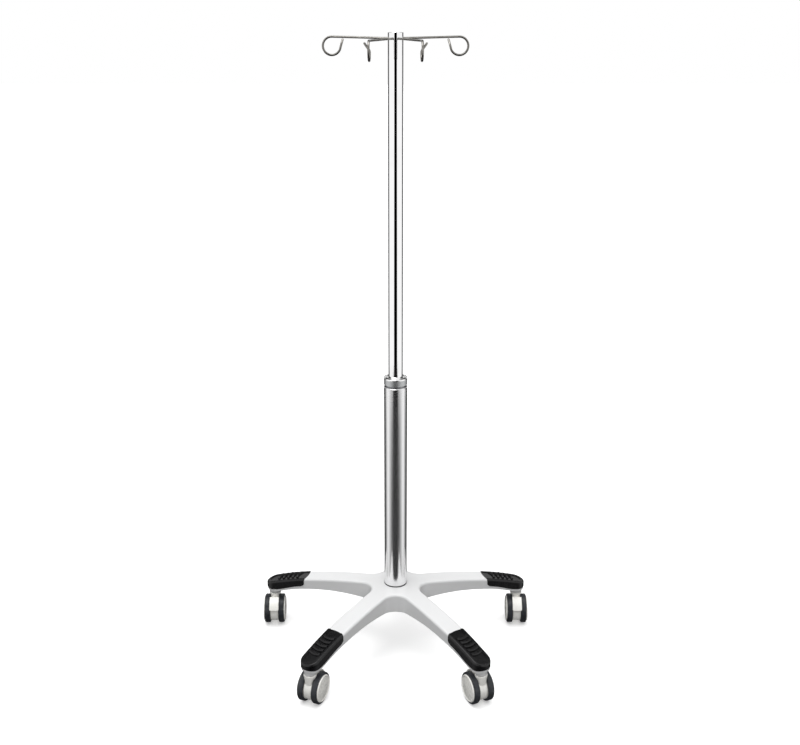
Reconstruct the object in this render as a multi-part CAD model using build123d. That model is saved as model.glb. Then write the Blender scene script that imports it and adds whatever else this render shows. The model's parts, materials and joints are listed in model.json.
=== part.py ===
from build123d import *
import math
import os

# Five-legged wheeled infusion stand: star base, twin-wheel casters, telescopic column and bag hooks.
# Millimetres, +Z up, origin on the floor under the column axis, front of the stand towards -Y.

os.makedirs("parts", exist_ok=True)

# ------------------------------------------------------------------ driving dimensions
LEG_AZIMUTHS = {"right": 18, "back": 90, "left": 162, "front_left": 234, "front_right": 306}
SWIVEL_RADIUS = 300.0      # column axis to caster swivel axis
CASTER_HEIGHT = 72.0       # floor to the seat of the caster stem
HUB_TOP = 146.0
HUB_FLAT_RADIUS = 40.0
HUB_BOTTOM = 103.0

ROOT_HALF_WIDTH = 23.0     # leg half width projected back to the column axis
TIP_HALF_WIDTH = 20.0      # leg half width, and end radius, at the swivel axis
CROTCH_RADIUS = 30.0       # concave fillet between neighbouring legs
LEG_EDGE_RADIUS = 5.0      # soft upper edge of the casting
CASTING_WALL = 4.0
LEG_RIB_THICKNESS = 3.5
LEG_END_SETBACK = 4.0      # centre of the round leg end, inboard of the swivel axis
TIP_RADIUS = SWIVEL_RADIUS - LEG_END_SETBACK + TIP_HALF_WIDTH

PAD_SEAM_RADIUS = 213.0    # where the foot pad begins

# Heights of the casting as (radius, z): the top runs outwards, the underside inwards.
CURVE_END = TIP_RADIUS + 2
LEG_TOP_CURVE = [(HUB_FLAT_RADIUS, HUB_TOP), (120, 140.5), (200, 129.0), (260, 115.5), (CURVE_END, 98.0)]
LEG_BOTTOM_CURVE = [(CURVE_END, 83.0), (298, 81.0), (260, 91.0), (PAD_SEAM_RADIUS, 101.8), (130, 109.3),
                    (90, 107.5), (50, HUB_BOTTOM)]
HOLLOW_FLOOR = [(CURVE_END, 50), (200, 50), (50, 50)]     # well below the casting
ABOVE_ALL = HUB_TOP + 40.0     # height that clears the whole base

PAD_SEAM_BULGE = 62.0      # plan radius of the curved seam
PAD_CORNER_RADIUS = 18.0   # lower inner corner of the pad in side view
PAD_PROUD = 1.4            # pad surface stands out of the casting
PAD_RECESS = 2.2           # depth of the seat under the pad
PAD_LIP = 5.5              # white lip left below the pad
PAD_EDGE_RADIUS = 4.5
PAD_FIELD_INSET = 7.0      # width of the raised border round the ribbed field
PAD_FIELD_DEPTH = 1.6
PAD_RIB_RADII = [240, 251.5, 263, 274.5, 286]
PAD_RIB_BOW = 24.0         # plan radius of each bowed rib
PAD_RIB_SECTION = 3.0
PAD_RIB_RISE = 1.4         # height of a rib's middle over the casting's top curve
PAD_DEPTH_BELOW = 3 * PAD_LIP  # how far under the casting the pad's rough shape is carried

BOSS_RADIUS = 13.0
SLEEVE_RADIUS = 7.5
STEM_RADIUS = 5.5
STEM_TOP = 94.0
STEM_BOTTOM = 49.0
STEM_FLANGE_RADIUS = 10.0
STEM_FLANGE_THICKNESS = 1.6
SOCKET_TOP = 96.0
SLEEVE_GAP = 0.5           # sleeve foot above the flange

RUNNING_CLEARANCE = 0.05   # radial, between a shaft and its hole
BODY_CLEARANCE = 0.4       # between pieces that move past each other

LOWER_TUBE_RADIUS = 25.0
LOWER_TUBE_WALL = 2.0
LOWER_TUBE_BORE = LOWER_TUBE_RADIUS - LOWER_TUBE_WALL
LOWER_TUBE_BOTTOM = 112.0
LOWER_TUBE_TOP = 614.0
UPPER_TUBE_RADIUS = 15.25
UPPER_TUBE_WALL = 1.5
UPPER_TUBE_BORE = UPPER_TUBE_RADIUS - UPPER_TUBE_WALL
UPPER_TUBE_BOTTOM = 165.0
MAST_TOP = 1341.5
COLUMN_BOSS_RADIUS = 32.0
SOCKET_GROOVE = 0.9        # sealing groove round the column where it enters the hub
SOCKET_GROOVE_DEPTH = 1.5
BOLT_RADIUS = 5.0
BOLT_HOLE_RADIUS = 5.5
BOLT_HEAD_RADIUS = 9.0     # centre to corner of the hexagon
BOLT_HEAD = 6.5
BOLT_SPARE = 4.0           # bolt end below the top of the plug
WASHER_RADIUS = 12.0
WASHER_THICKNESS = 2.0
PLUG_LENGTH = 30.0
BUSH_LENGTH = 42.0
NECK_DEPTH = 8.0           # part of the neck pressed into the tube
NECK_SEAT = 1.5            # neck's shoulder over the tube mouth
NECK_RISE = 15.0
NECK_BORE = 18.0           # radius
THREAD_RADIUS = 21.5
COLLET_LOW = 4.0           # collet foot over the tube mouth
COLLET_SLIT = 1.2
COLLET_SLIT_LENGTH = 14.0
COLLET_LIP = 0.9           # wall at the collet's thin end
COLLAR_TOP = 636.0
COLLAR_GAP = 4.5           # collar foot over the tube mouth
COLLAR_EDGE = 0.8
BEZEL_HEIGHT = 4.5
BEZEL_LAND = 2.2           # upright edge below the bezel's chamfer
GLIDE_LENGTH = 32.0
GLIDE_FLOOR = 4.0
GLIDE_CLEARANCE = 0.1
BLOCK_BELOW_HOOKS = 9.0
BLOCK_ABOVE_HOOKS = 6.0
CAP_FLANGE = 1.5

WHEEL_RADIUS = 33.0
TRAIL = 13.0               # swivel axis to axle
HOUSING_HALF_WIDTH = 9.0
WHEEL_INNER_FACE = 9.5
WHEEL_OUTER_FACE = 22.5
RIM_RADIUS = 28.6
AXLE_RADIUS = 3.0
AXLE_HALF_LENGTH = 20.0
WEB_RADIUS = 28.0
WEB_EDGE_RADIUS = 1.2
NECK_RADIUS = 13.5
NECK_BAND = 3.0            # cylindrical top of the neck
HOUSING_TOP = CASTER_HEIGHT - STEM_FLANGE_THICKNESS - BODY_CLEARANCE
LEVER_INNER_RADIUS = WHEEL_RADIUS + 1.0
LEVER_OUTER_RADIUS = 37.0
LEVER_HALF_WIDTH = 10.5
LEVER_TONGUE_HALF_WIDTH = 2.4
LEVER_EYE_RADIUS = 6.5
LEVER_CORNER_RADIUS = 3.0
LEVER_ANGLES = (19.0, 71.0)            # degrees above the trailing direction
LEVER_TONGUE_ANGLES = (36.0, 56.0)
LEVER_TRAVEL = 14.0        # degrees about the axle
LEVER_SLOT_MARGIN = 3.0    # degrees
NECK_WAIST_HEIGHT = 50.0
NECK_WAIST_LENGTH = 23.0
NECK_WAIST_WIDTH = 15.0
NECK_WAIST_CORNER = 4.0
TYRE_SHOULDER = 2.6
HUB_DISC_FACE = 16.0       # inner face of the wheel's disc
HUB_BOSS_RADIUS = 8.0

# Direction in which each caster trails at rest, degrees from +X.
CASTER_TRAIL = {"right": -91, "back": -90, "left": -89, "front_left": 67, "front_right": 113}

HOOK_HEIGHT = 1330.0
HOOK_REACH = 137.0         # column axis to the top of the loop
HOOK_WIRE_RADIUS = 2.2
HOOK_LOOP_RADIUS = 17.8
HOOK_TWIST = 19.5          # the loop turns out of line with its arm
HOOK_BEND_RADIUS = 30.0
HOOK_LOOP_END = -168.0     # degrees round the loop, counted from its outermost point
HOOK_TIP_LEAN = 35.0       # the tip bends away sideways
HOOK_TIP_BEND_RADIUS = 9.0
HOOK_TIP_LENGTH = 14.0      # straight end of the tip
HOOK_ROOT = 8.0            # the wire's inner end, inside the hook block
# Arm azimuth, upward slope of the arm in degrees, and hand of the twist.
HOOKS = {
    "back_left": (158.2, 1.4, 1),
    "back_right": (21.8, 1.4, -1),
    "front_left": (248.2, -1.8, 1),
    "front_right": (291.8, -1.8, -1),
}


# ------------------------------------------------------------------ helpers
def save(node, shape):
    export_step(shape, f"parts/{node}.step")


def cylinder(radius, low, high, x=0.0, y=0.0):
    """Upright cylinder between two heights."""
    return Pos(x, y, (low + high) / 2) * Cylinder(radius, high - low)


def ring(outer, inner, low, high):
    """Upright tube between two heights; the cutter overshoots so that both ends are open."""
    return cylinder(outer, low, high) - cylinder(inner, low - 1, high + 1)


def turned(points):
    """Solid of revolution about Z from a closed outline of (radius, z) points."""
    outline = make_face(Polyline([(r, 0, z) for r, z in points], close=True))
    return revolve(outline, axis=Axis.Z)


def across(radius, half_length, x=0.0, z=0.0):
    """Cylinder lying along Y, centred on the XZ point."""
    return Pos(x, 0, z) * Rot(90, 0, 0) * Cylinder(radius, 2 * half_length)


def washer_across(outer, inner, y_low, y_high, x=0.0, z=0.0):
    """Ring about the Y direction between two Y stations."""
    middle = (y_low + y_high) / 2
    length = y_high - y_low
    outside = Pos(x, middle, z) * Rot(90, 0, 0) * Cylinder(outer, length)
    inside = Pos(x, middle, z) * Rot(90, 0, 0) * Cylinder(inner, length + 2)
    return outside - inside


# ------------------------------------------------------------------ star base
def leg_plan(grow):
    """Plan of one leg along +X, tapering to a round end; grow moves the outline outwards."""
    root = ROOT_HALF_WIDTH + grow
    tip = TIP_HALF_WIDTH + grow
    end = SWIVEL_RADIUS - LEG_END_SETBACK
    sides = make_face(Polyline([(0, -root), (end, -tip), (end, tip), (0, root)], close=True))
    return sides + Pos(end, 0) * Circle(tip)


def star_plan(grow):
    """Plan of the five joined legs with concave fillets between them."""
    plan = Sketch()
    for azimuth in LEG_AZIMUTHS.values():
        plan += Rot(0, 0, azimuth) * leg_plan(grow)
    crotches = plan.vertices().filter_by(lambda v: math.hypot(v.X, v.Y) < 2 * ROOT_HALF_WIDTH)
    return fillet(crotches, CROTCH_RADIUS - grow)


def height_band(lower, upper):
    """Solid of revolution that holds everything between two (radius, z) curves.

    Each curve is a list of points for a spline; the lower one runs inwards, the upper one outwards.
    """
    top_line = Line((0, 0, upper[0][1]), (upper[0][0], 0, upper[0][1]))
    top = Spline([(r, 0, z) for r, z in upper], tangents=[(1, 0, 0), (3, 0, -1)])
    end = Line((upper[-1][0], 0, upper[-1][1]), (lower[0][0], 0, lower[0][1]))
    bottom = Spline([(r, 0, z) for r, z in lower])
    bottom_line = Line((lower[-1][0], 0, lower[-1][1]), (0, 0, lower[-1][1]))
    axis_line = Line((0, 0, lower[-1][1]), (0, 0, upper[0][1]))
    return revolve(make_face([top_line, top, end, bottom, bottom_line, axis_line]), axis=Axis.Z)


def raised(curve, rise):
    return [(r, z + rise) for r, z in curve]


def envelope(plan, lower, upper):
    """The plan stood up between two height curves."""
    return extrude(plan, ABOVE_ALL) & height_band(lower, upper)


def casting_skin():
    """Outer shape of the star before it is hollowed."""
    star = envelope(star_plan(0), LEG_BOTTOM_CURVE, LEG_TOP_CURVE)
    return soften_top(star, LEG_EDGE_RADIUS)


def soften_top(solid, radius):
    """Rounds the outer loop of the highest curved face."""
    top = solid.faces().filter_by(lambda f: f.geom_type != GeomType.PLANE)
    top = top.sort_by(lambda f: f.bounding_box().max.Z)[-1]
    return fillet(top.outer_wire().edges(), radius)


def hollow():
    """Space under the casting, leaving the walls, bosses and leg ribs standing."""
    space = envelope(star_plan(-CASTING_WALL), HOLLOW_FLOOR, raised(LEG_TOP_CURVE, -CASTING_WALL))
    space -= cylinder(COLUMN_BOSS_RADIUS, 0, HUB_TOP)
    rib = Pos(SWIVEL_RADIUS / 2, 0, HUB_TOP / 2) * Box(SWIVEL_RADIUS, LEG_RIB_THICKNESS, HUB_TOP)
    boss = cylinder(BOSS_RADIUS, 0, HUB_TOP, SWIVEL_RADIUS)
    for azimuth in LEG_AZIMUTHS.values():
        space -= Rot(0, 0, azimuth) * (rib + boss)
    return space


def star_base(pad_seat):
    """Hollow cast star with a column socket, caster sockets and seats for the foot pads."""
    star = casting_skin()
    star -= hollow()
    socket = cylinder(SLEEVE_RADIUS, 0, SOCKET_TOP, SWIVEL_RADIUS)
    boss = cylinder(BOSS_RADIUS, CASTER_HEIGHT, SOCKET_TOP, SWIVEL_RADIUS)
    for azimuth in LEG_AZIMUTHS.values():
        star -= Rot(0, 0, azimuth) * pad_seat
        star += Rot(0, 0, azimuth) * boss
        star -= Rot(0, 0, azimuth) * socket
    star -= cylinder(LOWER_TUBE_RADIUS, LOWER_TUBE_BOTTOM, HUB_TOP + 1)
    star -= cylinder(LOWER_TUBE_RADIUS + SOCKET_GROOVE, HUB_TOP - SOCKET_GROOVE_DEPTH, HUB_TOP + 1)
    star -= cylinder(BOLT_HOLE_RADIUS, 0, LOWER_TUBE_BOTTOM + 1)
    return star


# ------------------------------------------------------------------ foot pads
def pad_zone():
    """Everything that belongs to the pad of the leg along +X, seen from the side and from above."""
    far = TIP_RADIUS + 20
    lip = Spline([(r, z + PAD_LIP) for r, z in reversed(LEG_BOTTOM_CURVE) if r >= PAD_SEAM_RADIUS])
    start = lip @ 0
    end = lip @ 1
    edge = Polyline(end, (far, end.Y), (far, HUB_TOP), (start.X, HUB_TOP), start)
    side = make_face([lip, edge])
    corner = side.vertices().sort_by_distance(start)[0]
    side = fillet(corner, PAD_CORNER_RADIUS)
    side_view = extrude(Plane.XZ * side, 2 * TIP_HALF_WIDTH, both=True)
    middle = PAD_SEAM_RADIUS + PAD_SEAM_BULGE
    plan = Pos(middle, 0) * Circle(PAD_SEAM_BULGE)
    plan += Pos(middle + far / 2, 0) * Rectangle(far, 2 * PAD_SEAM_BULGE)
    return side_view & extrude(plan, HUB_TOP)


def pad_core():
    """The end of the leg that the pad sits on."""
    lower = raised(LEG_BOTTOM_CURVE, -PAD_DEPTH_BELOW)
    return envelope(leg_plan(-PAD_RECESS), lower, raised(LEG_TOP_CURVE, -PAD_RECESS))


def rib_bar(radius):
    """Bowed half-round bar across the pad, tilted to the slope of the leg."""
    stretches = list(zip(LEG_TOP_CURVE, LEG_TOP_CURVE[1:]))
    (r0, z0), (r1, z1) = next(pair for pair in stretches if pair[1][0] > radius)
    slope = math.degrees(math.atan2(z0 - z1, r1 - r0))
    height = z0 + (z1 - z0) * (radius - r0) / (r1 - r0)
    bow = Pos(-PAD_RIB_BOW, 0, 0) * Torus(PAD_RIB_BOW, PAD_RIB_SECTION)
    outer_half = Box(2 * PAD_RIB_BOW, 2 * PAD_RIB_BOW, 4 * PAD_RIB_SECTION)
    return Pos(radius, 0, height + PAD_RIB_RISE) * Rot(0, slope, 0) * (bow & outer_half)


def foot_pad(zone, core):
    """Ribbed soft cap over the outer end of a leg along +X."""
    low_curve = raised(LEG_BOTTOM_CURVE, -PAD_DEPTH_BELOW)
    pad = envelope(leg_plan(PAD_PROUD), low_curve, raised(LEG_TOP_CURVE, PAD_PROUD))
    pad = soften_top(pad, PAD_EDGE_RADIUS)
    field_floor = raised(LEG_TOP_CURVE, PAD_PROUD - PAD_FIELD_DEPTH)
    field = extrude(leg_plan(-PAD_FIELD_INSET), ABOVE_ALL)
    pad -= field - height_band(low_curve, field_floor)
    for radius in PAD_RIB_RADII:
        pad += rib_bar(radius) & field
    return pad & zone - core


# ------------------------------------------------------------------ caster sockets and stems
def grip_sleeve():
    return ring(SLEEVE_RADIUS, STEM_RADIUS, CASTER_HEIGHT + SLEEVE_GAP, SOCKET_TOP)


def caster_stem():
    """Pin that the caster swivels on, with the flange that the leg rests on."""
    stem = cylinder(STEM_RADIUS, STEM_BOTTOM, STEM_TOP)
    stem += cylinder(STEM_FLANGE_RADIUS, CASTER_HEIGHT - STEM_FLANGE_THICKNESS, CASTER_HEIGHT)
    top = stem.edges().sort_by(Axis.Z)[-1]
    return chamfer(top, 1)


# ------------------------------------------------------------------ casters
# Each piece is drawn with the swivel axis on Z and the wheels trailing along +X.
def sector(radius, half_width, start, end):
    """Pie slice about the axle, angles in degrees above the trailing direction."""
    steps = 6
    beyond = 1.2 * radius
    corners = [(0, 0)]
    for step in range(steps + 1):
        angle = math.radians(start + (end - start) * step / steps)
        corners.append((beyond * math.cos(angle), beyond * math.sin(angle)))
    slice_plan = make_face(Polyline(corners, close=True)) & Circle(radius)
    slab = extrude(Plane.XZ * slice_plan, half_width, both=True)
    return Pos(TRAIL, 0, WHEEL_RADIUS) * slab


def caster_housing():
    """Web between the wheels with the neck that turns on the stem."""
    web = across(WEB_RADIUS, HOUSING_HALF_WIDTH, TRAIL, WHEEL_RADIUS)
    web = fillet(web.edges().filter_by(GeomType.CIRCLE), WEB_EDGE_RADIUS)
    waist = RectangleRounded(NECK_WAIST_LENGTH, NECK_WAIST_WIDTH, NECK_WAIST_CORNER)
    waist = Plane.XY.offset(NECK_WAIST_HEIGHT) * waist
    shoulder = Plane.XY.offset(HOUSING_TOP - NECK_BAND) * Circle(NECK_RADIUS)
    neck = loft([waist, shoulder]) + cylinder(NECK_RADIUS, HOUSING_TOP - NECK_BAND, HOUSING_TOP)
    neck = chamfer(neck.edges().group_by(Axis.Z)[-1], 0.8)
    for side in (1, -1):
        wheel_space = across(WHEEL_RADIUS + 1, WHEEL_OUTER_FACE, TRAIL, WHEEL_RADIUS)
        neck -= Pos(0, side * (WHEEL_OUTER_FACE + HOUSING_HALF_WIDTH), 0) * wheel_space
    housing = web + neck
    housing -= cylinder(STEM_RADIUS + RUNNING_CLEARANCE, STEM_BOTTOM - 1, CASTER_HEIGHT)
    slot = LEVER_TONGUE_HALF_WIDTH + BODY_CLEARANCE
    lowest = LEVER_TONGUE_ANGLES[0] - LEVER_TRAVEL - LEVER_SLOT_MARGIN
    housing -= sector(LEVER_OUTER_RADIUS, slot, lowest, LEVER_TONGUE_ANGLES[1] + LEVER_SLOT_MARGIN)
    housing -= across(LEVER_EYE_RADIUS + BODY_CLEARANCE, slot, TRAIL, WHEEL_RADIUS)
    housing -= across(AXLE_RADIUS, HOUSING_HALF_WIDTH + 1, TRAIL, WHEEL_RADIUS)
    return housing


def axle():
    pin = across(AXLE_RADIUS, AXLE_HALF_LENGTH, TRAIL, WHEEL_RADIUS)
    return chamfer(pin.edges().filter_by(GeomType.CIRCLE), 0.5)


def brake_lever():
    """Pedal arched over the wheels, with a tongue through the web to its eye on the axle."""
    shell = sector(LEVER_OUTER_RADIUS, LEVER_HALF_WIDTH, *LEVER_ANGLES)
    shell -= across(LEVER_INNER_RADIUS, LEVER_HALF_WIDTH + 1, TRAIL, WHEEL_RADIUS)
    corners = shell.edges().filter_by(lambda e: e.center().Z < WHEEL_RADIUS + LEVER_OUTER_RADIUS / 2)
    corners = corners.filter_by(lambda e: e.length < 1.5 * (LEVER_OUTER_RADIUS - LEVER_INNER_RADIUS))
    shell = fillet(corners, LEVER_CORNER_RADIUS)
    start = LEVER_ANGLES[0] + LEVER_SLOT_MARGIN
    backing = sector(LEVER_INNER_RADIUS + 0.5, HOUSING_HALF_WIDTH - 0.5, start, LEVER_ANGLES[1])
    backing -= across(WEB_RADIUS + BODY_CLEARANCE, HOUSING_HALF_WIDTH + 1, TRAIL, WHEEL_RADIUS)
    tongue = sector(LEVER_INNER_RADIUS, LEVER_TONGUE_HALF_WIDTH, *LEVER_TONGUE_ANGLES)
    eye = across(LEVER_EYE_RADIUS, LEVER_TONGUE_HALF_WIDTH, TRAIL, WHEEL_RADIUS)
    lever = shell + backing + tongue + eye
    return lever - across(AXLE_RADIUS + RUNNING_CLEARANCE, LEVER_HALF_WIDTH, TRAIL, WHEEL_RADIUS)


def spun(points, side):
    """Solid of revolution about the axle, outline in (radius, distance from the mid-plane)."""
    profile = make_face(Polyline([(r, side * y, 0) for r, y in points], close=True))
    return Pos(TRAIL, 0, WHEEL_RADIUS) * revolve(profile, axis=Axis.Y)


def tyre(side):
    """Soft ring with rounded shoulders."""
    band = washer_across(WHEEL_RADIUS, RIM_RADIUS, WHEEL_INNER_FACE, WHEEL_OUTER_FACE)
    rims = band.edges().filter_by(GeomType.CIRCLE)
    outer_edges = rims.filter_by(lambda e: abs(e.radius - WHEEL_RADIUS) < 0.01)
    band = fillet(outer_edges, TYRE_SHOULDER)
    band = band if side > 0 else mirror(band, about=Plane.XZ)
    return Pos(TRAIL, 0, WHEEL_RADIUS) * band


def wheel_hub(side):
    """Wheel centre: bearing boss, disc and an outer cap with a raised rim round a shallow dish."""
    face = WHEEL_OUTER_FACE
    bore = AXLE_RADIUS + RUNNING_CLEARANCE
    blind = AXLE_HALF_LENGTH + BODY_CLEARANCE
    inner_side = [
        (0, blind),
        (bore, blind),
        (bore, WHEEL_INNER_FACE),
        (HUB_BOSS_RADIUS - 1, WHEEL_INNER_FACE),
        (HUB_BOSS_RADIUS, HUB_DISC_FACE),
        (RIM_RADIUS - 4, HUB_DISC_FACE),
        (RIM_RADIUS - 3, WHEEL_INNER_FACE + 1),
        (RIM_RADIUS, WHEEL_INNER_FACE + 1),
    ]
    raised_rim = [
        (RIM_RADIUS, face + 0.4),
        (RIM_RADIUS - 1.2, face + 2.0),
        (RIM_RADIUS - 2.8, face + 2.4),
    ]
    dish = [
        (RIM_RADIUS - 4.6, face + 1.2),
        (RIM_RADIUS - 12, face + 2.0),
        (HUB_BOSS_RADIUS, face + 2.8),
        (0, face + 3.0),
    ]
    return spun(inner_side + raised_rim + dish, side)


# ------------------------------------------------------------------ column
def lower_tube():
    tube = ring(LOWER_TUBE_RADIUS, LOWER_TUBE_BORE, LOWER_TUBE_BOTTOM, LOWER_TUBE_TOP)
    rim = tube.edges().group_by(Axis.Z)[-1].sort_by(SortBy.LENGTH)[-1]
    return chamfer(rim, 1.0)


def tube_plug():
    """Threaded block pressed into the foot of the lower tube."""
    return ring(LOWER_TUBE_BORE, BOLT_RADIUS, LOWER_TUBE_BOTTOM, LOWER_TUBE_BOTTOM + PLUG_LENGTH)


def base_washer():
    return ring(WASHER_RADIUS, BOLT_HOLE_RADIUS, HUB_BOTTOM - WASHER_THICKNESS, HUB_BOTTOM)


def base_bolt():
    """Hexagon bolt that draws the column into the star base."""
    head_top = HUB_BOTTOM - WASHER_THICKNESS
    head = Pos(0, 0, head_top - BOLT_HEAD) * extrude(RegularPolygon(BOLT_HEAD_RADIUS, 6), BOLT_HEAD)
    return head + cylinder(BOLT_RADIUS, head_top - 1, LOWER_TUBE_BOTTOM + PLUG_LENGTH - BOLT_SPARE)


def guide_bush():
    """Plastic bush that guides the mast in the mouth of the lower tube."""
    top = LOWER_TUBE_TOP - NECK_DEPTH
    return ring(LOWER_TUBE_BORE, UPPER_TUBE_RADIUS + RUNNING_CLEARANCE, top - BUSH_LENGTH, top)


def threaded_neck():
    """Collar seat on top of the lower tube; its neck carries the locking thread."""
    mouth = LOWER_TUBE_TOP
    shoulder = LOWER_TUBE_RADIUS - 1
    outline = [
        (NECK_BORE, mouth - NECK_DEPTH),
        (LOWER_TUBE_BORE, mouth - NECK_DEPTH),
        (LOWER_TUBE_BORE, mouth),
        (shoulder, mouth),
        (shoulder, mouth + NECK_SEAT),
        (THREAD_RADIUS, mouth + NECK_SEAT),
        (THREAD_RADIUS, mouth + NECK_RISE),
        (NECK_BORE, mouth + NECK_RISE),
    ]
    return turned(outline)


def lock_collet():
    """Slit cone that the collar squeezes on to the mast."""
    bore = UPPER_TUBE_RADIUS + RUNNING_CLEARANCE
    foot = LOWER_TUBE_TOP + COLLET_LOW
    flare = LOWER_TUBE_TOP + NECK_RISE + BODY_CLEARANCE
    top = COLLAR_TOP - BEZEL_HEIGHT + BODY_CLEARANCE
    outline = [
        (bore, foot),
        (NECK_BORE, foot),
        (NECK_BORE, flare),
        (THREAD_RADIUS - 1.5, flare),
        (bore + COLLET_LIP, top),
        (bore, top),
    ]
    collet = turned(outline)
    slit = Pos(0, 0, top - COLLET_SLIT_LENGTH / 2) * Box(
        2 * LOWER_TUBE_RADIUS, COLLET_SLIT, COLLET_SLIT_LENGTH)
    for turn in range(3):
        collet -= Rot(0, 0, 60 * turn) * slit
    return collet


def lock_collar():
    """Twist ring that tightens the collet."""
    low = LOWER_TUBE_TOP + COLLAR_GAP
    shoulder = COLLAR_TOP - BEZEL_HEIGHT
    bore = THREAD_RADIUS + BODY_CLEARANCE
    outline = [
        (bore, low),
        (LOWER_TUBE_RADIUS - COLLAR_EDGE, low),
        (LOWER_TUBE_RADIUS, low + COLLAR_EDGE),
        (LOWER_TUBE_RADIUS, shoulder),
        (bore, shoulder),
    ]
    return turned(outline)


def collar_bezel():
    """Polished top of the collar: chamfered outside, funnel inside."""
    low = COLLAR_TOP - BEZEL_HEIGHT
    lip = UPPER_TUBE_RADIUS + BODY_CLEARANCE
    outline = [
        (THREAD_RADIUS + BODY_CLEARANCE, low),
        (LOWER_TUBE_RADIUS, low),
        (LOWER_TUBE_RADIUS, low + BEZEL_LAND),
        (LOWER_TUBE_RADIUS - COLLAR_EDGE, low + BEZEL_LAND + COLLAR_EDGE),
        (UPPER_TUBE_RADIUS + 5.5, COLLAR_TOP),
        (UPPER_TUBE_RADIUS + 4.5, COLLAR_TOP),
        (lip, low + 2.4),
        (lip, low + 1.2),
    ]
    return turned(outline)


# ------------------------------------------------------------------ mast and hooks
def arm_place(azimuth, slope):
    """Places an arm, drawn along +X from the origin, on the mast."""
    return Rot(0, 0, azimuth) * Pos(0, 0, HOOK_HEIGHT) * Rot(0, -slope, 0)


def drilled_for_arms(solid):
    """Drills the four blind holes that the hook wires are seated in."""
    reach = UPPER_TUBE_RADIUS + 2
    drill = Pos((HOOK_ROOT + reach) / 2, 0, 0) * Rot(0, 90, 0) * Cylinder(
        HOOK_WIRE_RADIUS + RUNNING_CLEARANCE, reach - HOOK_ROOT)
    for azimuth, slope, _ in HOOKS.values():
        solid -= arm_place(azimuth, slope) * drill
    return solid


def upper_tube():
    tube = ring(UPPER_TUBE_RADIUS, UPPER_TUBE_BORE, UPPER_TUBE_BOTTOM, MAST_TOP - CAP_FLANGE)
    return drilled_for_arms(tube)


def hook_block():
    """Plug inside the mast that the four hook wires are seated in."""
    low = HOOK_HEIGHT - BLOCK_BELOW_HOOKS
    return drilled_for_arms(cylinder(UPPER_TUBE_BORE, low, HOOK_HEIGHT + BLOCK_ABOVE_HOOKS))


def top_cap():
    flange = cylinder(UPPER_TUBE_RADIUS, MAST_TOP - CAP_FLANGE, MAST_TOP)
    flange = chamfer(flange.edges().group_by(Axis.Z)[-1], 0.6)
    plug_low = HOOK_HEIGHT + BLOCK_ABOVE_HOOKS + BODY_CLEARANCE
    return flange + cylinder(UPPER_TUBE_BORE, plug_low, MAST_TOP - CAP_FLANGE)


def mast_glide():
    """Plastic foot of the mast, running in the lower tube."""
    low = UPPER_TUBE_BOTTOM - GLIDE_FLOOR
    shoe = ring(LOWER_TUBE_BORE - GLIDE_CLEARANCE, UPPER_TUBE_RADIUS, low, low + GLIDE_LENGTH)
    return shoe + ring(UPPER_TUBE_RADIUS + 1, UPPER_TUBE_RADIUS - 4, low, UPPER_TUBE_BOTTOM)


def bag_hook(azimuth, slope, hand):
    """One bent wire: radial arm, loop turned out of line, and a tip that leans away."""
    twist = math.radians(hand * HOOK_TWIST)
    top = Vector(HOOK_REACH, 0, 0)
    outward = Vector(math.cos(twist), math.sin(twist), 0)
    sideways = Vector(math.sin(twist), -math.cos(twist), 0) * hand
    up = Vector(0, 0, 1)
    bend_back = HOOK_BEND_RADIUS * math.tan(abs(twist) / 2)
    arm = Line((HOOK_ROOT, 0, 0), top - Vector(2 * bend_back, 0, 0))
    bend_end = top - Vector(bend_back, 0, 0) + outward * bend_back
    bend = TangentArc(arm @ 1, bend_end, tangent=arm % 1)
    centre = bend_end - up * HOOK_LOOP_RADIUS

    def on_loop(angle):
        turn = math.radians(angle)
        return centre + (outward * math.cos(turn) + up * math.sin(turn)) * HOOK_LOOP_RADIUS

    first = ThreePointArc(bend @ 1, on_loop(0), on_loop(-90))
    second = ThreePointArc(on_loop(-90), on_loop(-140), on_loop(HOOK_LOOP_END))
    lean = math.radians(HOOK_TIP_LEAN)
    rise = second % 1
    bent = rise * math.cos(lean) + sideways * math.sin(lean)
    reach = HOOK_TIP_BEND_RADIUS * math.tan(lean / 2)
    tip_bend = TangentArc(second @ 1, (second @ 1) + (rise + bent) * reach, tangent=rise)
    tip = Line(tip_bend @ 1, (tip_bend @ 1) + bent * HOOK_TIP_LENGTH)
    path = Wire([arm, bend, first, second, tip_bend, tip])
    wire = sweep(Plane(origin=path @ 0, z_dir=path % 0) * Circle(HOOK_WIRE_RADIUS), path=path)
    wire += Pos(tip @ 1) * Sphere(HOOK_WIRE_RADIUS)
    return arm_place(azimuth, slope) * wire


# ------------------------------------------------------------------ write every piece
def write_base():
    zone = pad_zone()
    core = pad_core()
    save("star_base", star_base(zone - core))
    pad = foot_pad(zone, core)
    sleeves = []
    stems = []
    for side, azimuth in LEG_AZIMUTHS.items():
        place = Rot(0, 0, azimuth)
        save(f"foot_pad_{side}", place * pad)
        sleeves.append(place * Pos(SWIVEL_RADIUS, 0, 0) * grip_sleeve())
        stems.append(place * Pos(SWIVEL_RADIUS, 0, 0) * caster_stem())
    save("grip_sleeves", Compound(sleeves))
    save("caster_stems", Compound(stems))


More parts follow.
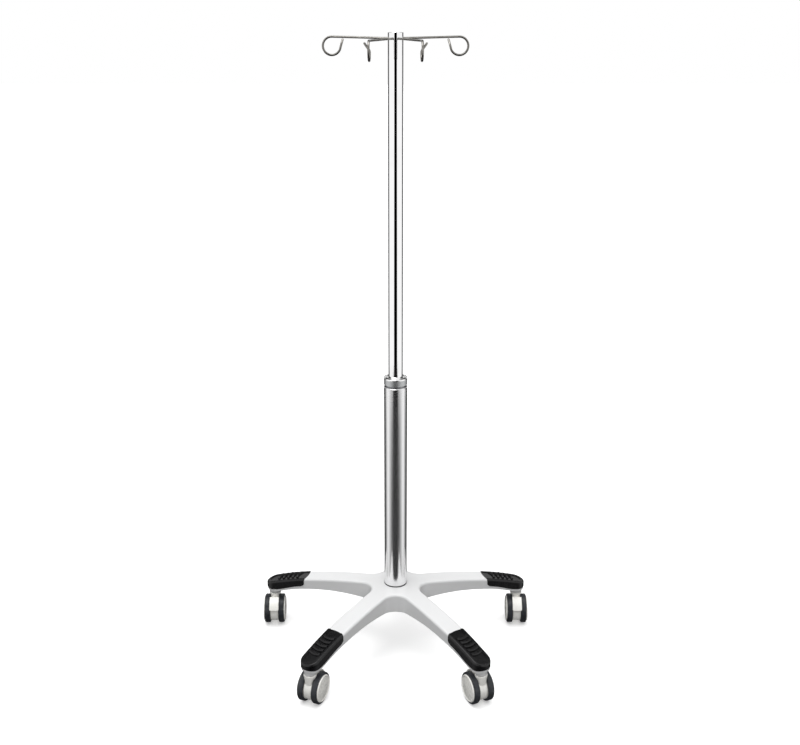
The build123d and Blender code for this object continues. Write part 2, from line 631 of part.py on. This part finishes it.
def write_casters():
    for side, azimuth in LEG_AZIMUTHS.items():
        turn_back = Rot(0, 0, CASTER_TRAIL[side] - azimuth)
        place = Rot(0, 0, azimuth) * Pos(SWIVEL_RADIUS, 0, 0) * turn_back
        save(f"caster_{side}_housing", place * caster_housing())
        save(f"caster_{side}_axle", place * axle())
        save(f"caster_{side}_brake_lever", place * brake_lever())
        for name, sign in (("a", 1), ("b", -1)):
            save(f"caster_{side}_tyre_{name}", place * tyre(sign))
            save(f"caster_{side}_hub_{name}", place * wheel_hub(sign))


def write_column():
    save("lower_tube", lower_tube())
    save("tube_plug", tube_plug())
    save("base_washer", base_washer())
    save("base_bolt", base_bolt())
    save("guide_bush", guide_bush())
    save("threaded_neck", threaded_neck())
    save("lock_collet", lock_collet())
    save("lock_collar", lock_collar())
    save("collar_bezel", collar_bezel())


def write_mast():
    save("upper_tube", upper_tube())
    save("hook_block", hook_block())
    save("top_cap", top_cap())
    save("mast_glide", mast_glide())
    for name, (azimuth, slope, hand) in HOOKS.items():
        save(f"hook_{name}", bag_hook(azimuth, slope, hand))


write_column()
write_mast()
write_casters()
write_base()
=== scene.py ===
import json
import math

import bmesh
import bpy
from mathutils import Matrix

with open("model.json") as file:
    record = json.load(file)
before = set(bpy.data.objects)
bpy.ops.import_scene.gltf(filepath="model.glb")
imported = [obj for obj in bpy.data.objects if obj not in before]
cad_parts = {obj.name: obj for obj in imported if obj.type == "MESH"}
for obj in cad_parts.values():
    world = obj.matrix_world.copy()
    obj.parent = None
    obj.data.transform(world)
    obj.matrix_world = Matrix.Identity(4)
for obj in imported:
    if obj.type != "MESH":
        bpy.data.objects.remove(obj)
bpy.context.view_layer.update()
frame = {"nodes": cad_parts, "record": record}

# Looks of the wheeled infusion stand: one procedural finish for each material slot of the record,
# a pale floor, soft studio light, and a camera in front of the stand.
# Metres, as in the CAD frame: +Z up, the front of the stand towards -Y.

# ------------------------------------------------------------------ camera
CAMERA_DISTANCE = 2.118
CAMERA_HEIGHT = 1.3297
CAMERA_PITCH = 16.01       # degrees below the horizon
SENSOR_WIDTH = 36.0        # mm
FOCAL_LENGTH = 46.89       # mm
FRAME_SHIFT = (0.0055, -0.04375)       # of the sensor's width, across and up

# ------------------------------------------------------------------ dirt by height over the floor, and painted shade at the column's foot
DUST_RANGE = (0.074, 0.100)            # floor dust on the casting fades between these heights
DUST_COLOUR = (0.52, 0.51, 0.49)
GRIME_RANGE = (0.003, 0.020)           # grime on the casters
GRIME_COLOUR = (0.45, 0.43, 0.39)
# Painted shade: the column's tube is painted near black at its foot, where it enters the hub.
TUBE_FOOT_SHADE_RANGE = (0.1475, 0.1490)      # the dark line round the column's foot ends between these
TUBE_FOOT_SHADE_COLOUR = (0.03, 0.03, 0.03)

# ------------------------------------------------------------------ sky for matt surfaces
# Heights here and in the next section are on the unit sphere: -1 straight down, 0 the horizon.
SKY_LOW = 0.13             # light from round the horizon
SKY_TOP = 1.58             # light from above
SKY_RISE = (0.25, 0.90)    # heights between which it brightens from SKY_LOW to SKY_TOP
SKY_BOUNCE = 0.65          # added from below, as a pale floor sends it back up
BOUNCE_FADE = (-0.90, -0.60)       # heights where the bounce is full and where it ends

# ------------------------------------------------------------------ studio that polished metal mirrors
# Bearings are in degrees on either side of -Y, where the camera stands.
CEILING_RISE = (0.76, 0.92)        # heights where the bright ceiling starts and is full
CEILING_LIGHT = 1.0
# The studio has a dark gap round the camera. It runs out to the first bearing, and the light is
# full from the second. Towards the floor it widens and fades more slowly.
DARK_GAP_HIGH = (17.0, 21.0)       # from the horizon up
DARK_GAP_LOW = (22.0, 27.0)        # at GAP_LOW_HEIGHT
DARK_GAP_FLOOR = (29.0, 84.0)      # at GAP_FLOOR_HEIGHT and below
DARK_GAP_LIGHT = 0.05              # what is left of the light in the gap down there
GAP_LOW_HEIGHT = -0.30
GAP_FLOOR_HEIGHT = -0.335
BACK_DIM_HIGH = (106.0, 126.0)     # bearings between which the studio fades towards the back
BACK_DIM_FLOOR = (82.0, 122.0)     # the same, at GAP_FLOOR_HEIGHT and below
BACK_DIM = 0.08
BAND_RISE = (0.15, 0.21)           # heights where the bright band over the horizon starts
BAND_FALL = (0.36, 0.48)           # and where it ends
BAND_LIGHT = 0.85
FLOOR_DIM_FADE = (-0.525, -0.495)  # heights where the floor is dim and where that ends
FLOOR_DIM = 0.20

# ------------------------------------------------------------------ lamps and floor
SOFTBOX_SIZE = 1.4
SOFTBOX_PLACE = (-0.5, -0.4, 2.9)
SOFTBOX_TILT = (-8.0, -10.0)       # degrees about X and Y from pointing straight down
SOFTBOX_POWER = 14.0
FRONT_LIGHT_SIZE = 1.5
FRONT_LIGHT_PLACE = (0.0, -2.3, 1.5)
FRONT_LIGHT_TILT = (65.0, 0.0)
FRONT_LIGHT_POWER = 15.0
FLOOR_SIZE = 60.0
FLOOR_WHITE = 0.95
FLOOR_GLOW = 0.24          # keeps the contact shadows faint


# ------------------------------------------------------------------ node helpers
class Surface:
    """One Principled material whose textures are laid out in the object's own metres."""

    def __init__(self, name, metallic=0.0):
        self.material = bpy.data.materials.new(name)
        self.material.use_nodes = True
        self.nodes = self.material.node_tree.nodes
        self.links = self.material.node_tree.links
        self.shader = self.nodes["Principled BSDF"]
        self.shader.inputs["Metallic"].default_value = metallic
        self.place = self.nodes.new("ShaderNodeTexCoord").outputs["Object"]

    def set(self, socket, value):
        """Sets a value that is the same all over the surface."""
        self.shader.inputs[socket].default_value = value
        return self

    def noise(self, scale, detail=3.0, stretch=(1.0, 1.0, 1.0), warp=0.0):
        """Noise from 0 to 1; scale counts features per metre, stretch multiplies it along each axis."""
        mapping = self.nodes.new("ShaderNodeMapping")
        mapping.inputs["Scale"].default_value = stretch
        self.links.new(self.place, mapping.inputs["Vector"])
        texture = self.nodes.new("ShaderNodeTexNoise")
        texture.inputs["Scale"].default_value = scale
        texture.inputs["Detail"].default_value = detail
        texture.inputs["Distortion"].default_value = warp
        self.links.new(mapping.outputs["Vector"], texture.inputs["Vector"])
        return texture.outputs["Fac"]

    def spread(self, factor, low, high, start=0.3, end=0.7):
        """Maps the middle of a noise to the range low to high."""
        ramp = self.nodes.new("ShaderNodeMapRange")
        ramp.interpolation_type = "SMOOTHSTEP"
        ramp.inputs["From Min"].default_value = start
        ramp.inputs["From Max"].default_value = end
        ramp.inputs["To Min"].default_value = low
        ramp.inputs["To Max"].default_value = high
        self.links.new(factor, ramp.inputs["Value"])
        return ramp.outputs["Result"]

    def height(self):
        """The point's height in the object's own frame, in metres."""
        split = self.nodes.new("ShaderNodeSeparateXYZ")
        self.links.new(self.place, split.inputs["Vector"])
        return split.outputs["Z"]

    def combine(self, first, second, operation="MULTIPLY"):
        """The product of two outputs, or another operation on them."""
        maths = self.nodes.new("ShaderNodeMath")
        maths.operation = operation
        self.links.new(first, maths.inputs[0])
        self.links.new(second, maths.inputs[1])
        return maths.outputs["Value"]

    def blend(self, factor, base, over):
        """Mix of two colours, or of a colour output and a colour, by a factor."""
        mix = self.nodes.new("ShaderNodeMix")
        mix.data_type = "RGBA"
        self.links.new(factor, mix.inputs["Factor"])
        for socket, colour in ((mix.inputs["A"], base), (mix.inputs["B"], over)):
            if isinstance(colour, tuple):
                socket.default_value = (*colour, 1.0)
            else:
                self.links.new(colour, socket)
        return mix.outputs["Result"]

    def colour(self, output):
        self.links.new(output, self.shader.inputs["Base Color"])
        return self

    def roughness(self, output):
        self.links.new(output, self.shader.inputs["Roughness"])
        return self

    def bumps(self, *layers):
        """Chains bumps of (height output, depth in millimetres)."""
        normal = None
        for output, depth in layers:
            bump = self.nodes.new("ShaderNodeBump")
            bump.inputs["Distance"].default_value = depth / 1000
            self.links.new(output, bump.inputs["Height"])
            if normal is not None:
                self.links.new(normal, bump.inputs["Normal"])
            normal = bump.outputs["Normal"]
        self.links.new(normal, self.shader.inputs["Normal"])
        return self


# ------------------------------------------------------------------ finishes
def white_paint():
    """Gloss powder coat on the casting: orange peel, faint handling marks, floor dust low down."""
    s = Surface("white_paint")
    handling = s.spread(s.noise(6.0, 2.0), 0.0, 1.0, 0.35, 0.75)
    tone = s.blend(handling, (0.73, 0.733, 0.736), (0.715, 0.717, 0.72))
    low = s.spread(s.height(), 0.30, 0.0, *DUST_RANGE)
    dust = s.combine(low, s.noise(60.0, 6.0))
    s.colour(s.blend(dust, tone, DUST_COLOUR))
    s.roughness(s.spread(s.noise(16.0, 2.0), 0.28, 0.36))
    s.set("Coat Weight", 0.25).set("Coat Roughness", 0.12)
    peel = s.noise(420.0, 1.5)
    waves = s.noise(38.0, 1.0)
    return s.bumps((waves, 0.03), (peel, 0.010)).material


def pad_plastic():
    """Near-black soft plastic with a moulded grain and scuffs paler than the rest."""
    s = Surface("pad_plastic")
    mottle = s.spread(s.noise(90.0, 4.0), 0.0, 1.0)
    tone = s.blend(mottle, (0.004, 0.004, 0.0045), (0.008, 0.008, 0.0085))
    scuff = s.spread(s.noise(160.0, 8.0, (1.0, 1.0, 0.4), 1.5), 0.0, 0.30, 0.62, 0.74)
    s.colour(s.blend(scuff, tone, (0.03, 0.03, 0.03)))
    s.roughness(s.spread(s.noise(220.0, 4.0), 0.19, 0.27))
    s.set("Specular IOR Level", 0.36)
    grain = s.noise(1500.0, 2.0)
    dimples = s.noise(520.0, 2.0)
    return s.bumps((dimples, 0.012), (grain, 0.006)).material


def turned_metal(name, tones, rough, rings, ring_depth, metres_per_spot=0.03, painted_shade_line=None):
    """Bright metal finished on a lathe or belt: fine rings about the column, soft spots of handling.

    Painted shade may darken the metal in a line that ends between two heights in metres.
    """
    s = Surface(name, metallic=1.0)
    ring_noise = s.noise(rings, 2.0, (0.02, 0.02, 1.0))
    spots = s.noise(1.0 / metres_per_spot, 3.0)
    ring_tone = s.blend(s.spread(ring_noise, 0.0, 1.0, 0.25, 0.75), tones[0], tones[1])
    tone = s.blend(s.spread(spots, 0.0, 0.3, 0.5, 0.8), ring_tone, tones[2])
    # Painted shade: the colour turns near black below the given heights.
    if painted_shade_line:
        tone = s.blend(s.spread(s.height(), 1.0, 0.0, *painted_shade_line), tone, TUBE_FOOT_SHADE_COLOUR)
    s.colour(tone)
    s.roughness(s.spread(s.combine(ring_noise, spots, "ADD"), rough[0], rough[1], 0.5, 1.5))
    return s.bumps((ring_noise, ring_depth)).material


def satin_steel():
    """Satin stainless tube of the column, with painted shade in a dark line where it enters the hub."""
    return turned_metal(
        "satin_steel",
        tones=((0.84, 0.84, 0.845), (0.90, 0.90, 0.905), (0.78, 0.78, 0.78)),
        rough=(0.18, 0.22), rings=2600.0, ring_depth=0.0005, metres_per_spot=0.08,
        painted_shade_line=TUBE_FOOT_SHADE_RANGE)


def collar_satin():
    """Duller turned metal of the lock collar."""
    return turned_metal(
        "collar_satin",
        tones=((0.56, 0.575, 0.58), (0.64, 0.655, 0.66), (0.52, 0.53, 0.53)),
        rough=(0.36, 0.46), rings=3800.0, ring_depth=0.006)


def chrome_tube():
    """Mirror chrome with barely visible polishing haze and fingerprints."""
    s = Surface("chrome_tube", metallic=1.0)
    haze = s.spread(s.noise(24.0, 6.0, warp=0.8), 0.0, 1.0, 0.48, 0.78)
    s.colour(s.blend(haze, (0.94, 0.94, 0.945), (0.90, 0.90, 0.90)))
    fine = s.noise(900.0, 2.0, (1.0, 1.0, 0.02))
    s.roughness(s.spread(s.combine(haze, fine, "ADD"), 0.025, 0.07, 0.4, 1.4))
    return s.bumps((fine, 0.0006)).material


def polished_steel():
    """Turned and polished trim: the bezel on top of the collar."""
    return turned_metal(
        "polished_steel",
        tones=((0.90, 0.90, 0.90), (0.95, 0.95, 0.95), (0.85, 0.85, 0.85)),
        rough=(0.06, 0.13), rings=5200.0, ring_depth=0.0012)


def hook_wire():
    """Drawn wire plated in satin nickel, rubbed brighter where bags hang."""
    s = Surface("hook_wire", metallic=1.0)
    rubbed = s.spread(s.noise(55.0, 4.0), 0.0, 1.0, 0.45, 0.7)
    s.colour(s.blend(rubbed, (0.27, 0.26, 0.24), (0.40, 0.385, 0.36)))
    drawn = s.noise(1600.0, 2.0)
    s.roughness(s.spread(s.noise(300.0, 3.0), 0.20, 0.34))
    return s.bumps((drawn, 0.006)).material


def zinc_steel():
    """Zinc plate on pins and fasteners, cloudy with a bluish cast."""
    s = Surface("zinc_steel", metallic=1.0)
    cloud = s.spread(s.noise(180.0, 5.0, warp=0.7), 0.0, 1.0)
    s.colour(s.blend(cloud, (0.33, 0.34, 0.36), (0.46, 0.46, 0.47)))
    s.roughness(s.spread(s.noise(420.0, 3.0), 0.30, 0.48))
    return s.bumps((s.noise(1300.0, 2.0), 0.006)).material


def bush_plastic():
    """Natural nylon, waxy and a little translucent."""
    s = Surface("bush_plastic")
    s.colour(s.blend(s.spread(s.noise(70.0, 4.0), 0.0, 1.0), (0.70, 0.69, 0.65), (0.78, 0.77, 0.73)))
    s.roughness(s.spread(s.noise(260.0, 3.0), 0.40, 0.55))
    s.set("Subsurface Weight", 0.08).set("Subsurface Radius", (0.002, 0.002, 0.0015))
    return s.bumps((s.noise(800.0, 2.0), 0.01)).material


def caster_white():
    """Ivory moulded nylon: fine grain, gloss from use, grime gathering near the floor."""
    s = Surface("caster_white")
    flow = s.spread(s.noise(30.0, 3.0, warp=1.2), 0.0, 1.0)
    tone = s.blend(flow, (0.94, 0.93, 0.88), (0.97, 0.96, 0.92))
    low = s.spread(s.height(), 0.22, 0.0, *GRIME_RANGE)
    grime = s.combine(low, s.noise(90.0, 6.0))
    s.colour(s.blend(grime, tone, GRIME_COLOUR))
    s.roughness(s.spread(s.noise(190.0, 4.0), 0.22, 0.36))
    s.set("Coat Weight", 0.25).set("Coat Roughness", 0.10)
    return s.bumps((s.noise(650.0, 2.0), 0.006)).material


def tyre_grey():
    """Dark polyurethane tread: scuffed and dusty, with fine pitting."""
    s = Surface("tyre_grey")
    mottle = s.spread(s.noise(120.0, 5.0), 0.0, 1.0)
    tone = s.blend(mottle, (0.014, 0.016, 0.020), (0.026, 0.029, 0.035))
    dusty = s.spread(s.noise(45.0, 8.0, warp=1.0), 0.0, 0.4, 0.50, 0.72)
    s.colour(s.blend(dusty, tone, (0.07, 0.07, 0.072)))
    s.roughness(s.spread(s.noise(240.0, 4.0), 0.36, 0.56))
    pits = s.noise(950.0, 3.0)
    scuffs = s.noise(300.0, 6.0, warp=2.0)
    return s.bumps((scuffs, 0.03), (pits, 0.02)).material


FINISHES = (white_paint, pad_plastic, satin_steel, chrome_tube, polished_steel, collar_satin, hook_wire,
            zinc_steel, bush_plastic, caster_white, tyre_grey)


def dress_nodes():
    """Gives every CAD node the finish of its material slot."""
    finishes = {make.__name__: make() for make in FINISHES}
    for part in frame["record"]["subparts"]:
        mesh = frame["nodes"][part["node"]].data
        mesh.materials.clear()
        mesh.materials.append(finishes[part["material_slot"]])


# ------------------------------------------------------------------ studio
def make_camera():
    """Camera in front of the stand, looking down at it."""
    data = bpy.data.cameras.new("camera")
    data.lens = FOCAL_LENGTH
    data.sensor_width = SENSOR_WIDTH
    data.shift_x, data.shift_y = FRAME_SHIFT
    camera = bpy.data.objects.new("camera", data)
    camera.location = (0.0, -CAMERA_DISTANCE, CAMERA_HEIGHT)
    camera.rotation_euler = (math.radians(90.0 - CAMERA_PITCH), 0.0, 0.0)
    bpy.context.scene.collection.objects.link(camera)
    bpy.context.scene.camera = camera


def make_floor():
    """Matt white sheet under the stand; polished parts don't mirror it."""
    mesh = bpy.data.meshes.new("floor")
    shape = bmesh.new()
    bmesh.ops.create_grid(shape, x_segments=1, y_segments=1, size=FLOOR_SIZE / 2)
    shape.to_mesh(mesh)
    shape.free()
    floor = bpy.data.objects.new("floor", mesh)
    bpy.context.scene.collection.objects.link(floor)
    material = bpy.data.materials.new("floor_white")
    material.use_nodes = True
    shader = material.node_tree.nodes["Principled BSDF"]
    shader.inputs["Base Color"].default_value = (FLOOR_WHITE, FLOOR_WHITE, FLOOR_WHITE, 1.0)
    shader.inputs["Roughness"].default_value = 1.0
    shader.inputs["Specular IOR Level"].default_value = 0.0
    shader.inputs["Emission Color"].default_value = (1.0, 1.0, 1.0, 1.0)
    shader.inputs["Emission Strength"].default_value = FLOOR_GLOW
    mesh.materials.append(material)
    floor.visible_glossy = False
    floor.visible_diffuse = False


def make_disk_light(name, size, power, place, tilt):
    """Round soft light, tilted in degrees about X and Y from pointing straight down."""
    light = bpy.data.lights.new(name, "AREA")
    light.shape = "DISK"
    light.size = size
    light.energy = power
    holder = bpy.data.objects.new(name, light)
    holder.location = place
    about_x, about_y = tilt
    holder.rotation_euler = (math.radians(about_x), math.radians(about_y), 0.0)
    bpy.context.scene.collection.objects.link(holder)
    return holder


def make_lights():
    """A softbox overhead, and a wide light by the camera that doesn't show in the chrome."""
    make_disk_light("softbox", SOFTBOX_SIZE, SOFTBOX_POWER, SOFTBOX_PLACE, SOFTBOX_TILT)
    front = make_disk_light("front_light", FRONT_LIGHT_SIZE, FRONT_LIGHT_POWER, FRONT_LIGHT_PLACE,
                            FRONT_LIGHT_TILT)
    front.visible_glossy = False


class Studio:
    """World shader: white to the camera, a soft sky for matt surfaces, a patterned room for mirrors."""

    def __init__(self):
        world = bpy.data.worlds.new("studio")
        world.use_nodes = True
        world.cycles.sampling_method = "NONE"      # so that each ray meets the sky meant for its kind
        bpy.context.scene.world = world
        self.nodes = world.node_tree.nodes
        self.links = world.node_tree.links
        self.background = self.nodes["Background"]
        split = self.nodes.new("ShaderNodeSeparateXYZ")
        place = self.nodes.new("ShaderNodeTexCoord")
        self.links.new(place.outputs["Generated"], split.inputs["Vector"])
        self.x, self.y, self.z = split.outputs

    def feed(self, socket, value):
        """Sets a socket to a number or links an output to it."""
        if isinstance(value, float):
            socket.default_value = value
        else:
            self.links.new(value, socket)

    def ramp(self, value, start, end, low, high):
        """Smooth change from low to high while the value goes from start to end."""
        node = self.nodes.new("ShaderNodeMapRange")
        node.interpolation_type = "SMOOTHSTEP"
        self.feed(node.inputs["Value"], value)
        self.feed(node.inputs["From Min"], start)
        self.feed(node.inputs["From Max"], end)
        self.feed(node.inputs["To Min"], low)
        self.feed(node.inputs["To Max"], high)
        return node.outputs["Result"]

    def maths(self, operation, *values):
        """One maths node; each value is a number or an output."""
        node = self.nodes.new("ShaderNodeMath")
        node.operation = operation
        for socket, value in zip(node.inputs, values):
            self.feed(socket, value)
        return node.outputs["Value"]

    def choose(self, flag, otherwise, chosen):
        """The first value where the flag is 0, the second where it is 1."""
        node = self.nodes.new("ShaderNodeMix")
        node.data_type = "FLOAT"
        self.feed(node.inputs["Factor"], flag)
        self.feed(node.inputs["A"], otherwise)
        self.feed(node.inputs["B"], chosen)
        return node.outputs["Result"]

    def bearing(self):
        """Degrees between a ray and -Y in the plan, the same on both sides."""
        toward_camera = self.maths("MULTIPLY", self.y, -1.0)
        angle = self.maths("ABSOLUTE", self.maths("ARCTAN2", self.x, toward_camera))
        return self.maths("DEGREES", angle)

    def gap_edge(self, index, low):
        """Bearing of the dark gap's inner (0) or outer (1) edge, by height."""
        upper = self.ramp(self.z, GAP_LOW_HEIGHT, 0.0, DARK_GAP_LOW[index], DARK_GAP_HIGH[index])
        return self.choose(low, upper, DARK_GAP_FLOOR[index])

    def walls(self):
        """What mirrors see all round: the dark gap in front, the dim back and the dim floor."""
        bearing = self.bearing()
        low = self.ramp(self.z, GAP_FLOOR_HEIGHT, GAP_LOW_HEIGHT, 1.0, 0.0)
        gap_light = self.choose(low, 0.0, DARK_GAP_LIGHT)
        front = self.ramp(bearing, self.gap_edge(0, low), self.gap_edge(1, low), gap_light, 1.0)
        dim_start, dim_end = (self.choose(low, *pair) for pair in zip(BACK_DIM_HIGH, BACK_DIM_FLOOR))
        back = self.ramp(bearing, dim_start, dim_end, 1.0, BACK_DIM)
        floor = self.ramp(self.z, *FLOOR_DIM_FADE, FLOOR_DIM, 1.0)
        return self.maths("MULTIPLY", self.maths("MULTIPLY", front, back), floor)

    def mirrored(self):
        """The walls, the bright band over the horizon and the bright ceiling."""
        overhead = self.ramp(self.z, *CEILING_RISE, 0.0, CEILING_LIGHT)
        band = self.maths("MULTIPLY", self.ramp(self.z, *BAND_RISE, 0.0, BAND_LIGHT),
                          self.ramp(self.z, *BAND_FALL, 1.0, 0.0))
        return self.maths("MAXIMUM", self.maths("MAXIMUM", self.walls(), band), overhead)

    def sky(self):
        """What lights matt surfaces."""
        return self.maths("ADD", self.ramp(self.z, *SKY_RISE, SKY_LOW, SKY_TOP),
                          self.ramp(self.z, *BOUNCE_FADE, SKY_BOUNCE, 0.0))

    def build(self):
        """Gives each kind of ray its own surroundings."""
        rays = self.nodes.new("ShaderNodeLightPath").outputs
        shown = self.choose(rays["Is Glossy Ray"], self.sky(), self.mirrored())
        shown = self.choose(rays["Is Camera Ray"], shown, 1.0)
        self.links.new(shown, self.background.inputs["Color"])


dress_nodes()
make_camera()
make_floor()
make_lights()
Studio().build()
bpy.context.scene.view_settings.view_transform = "Standard"
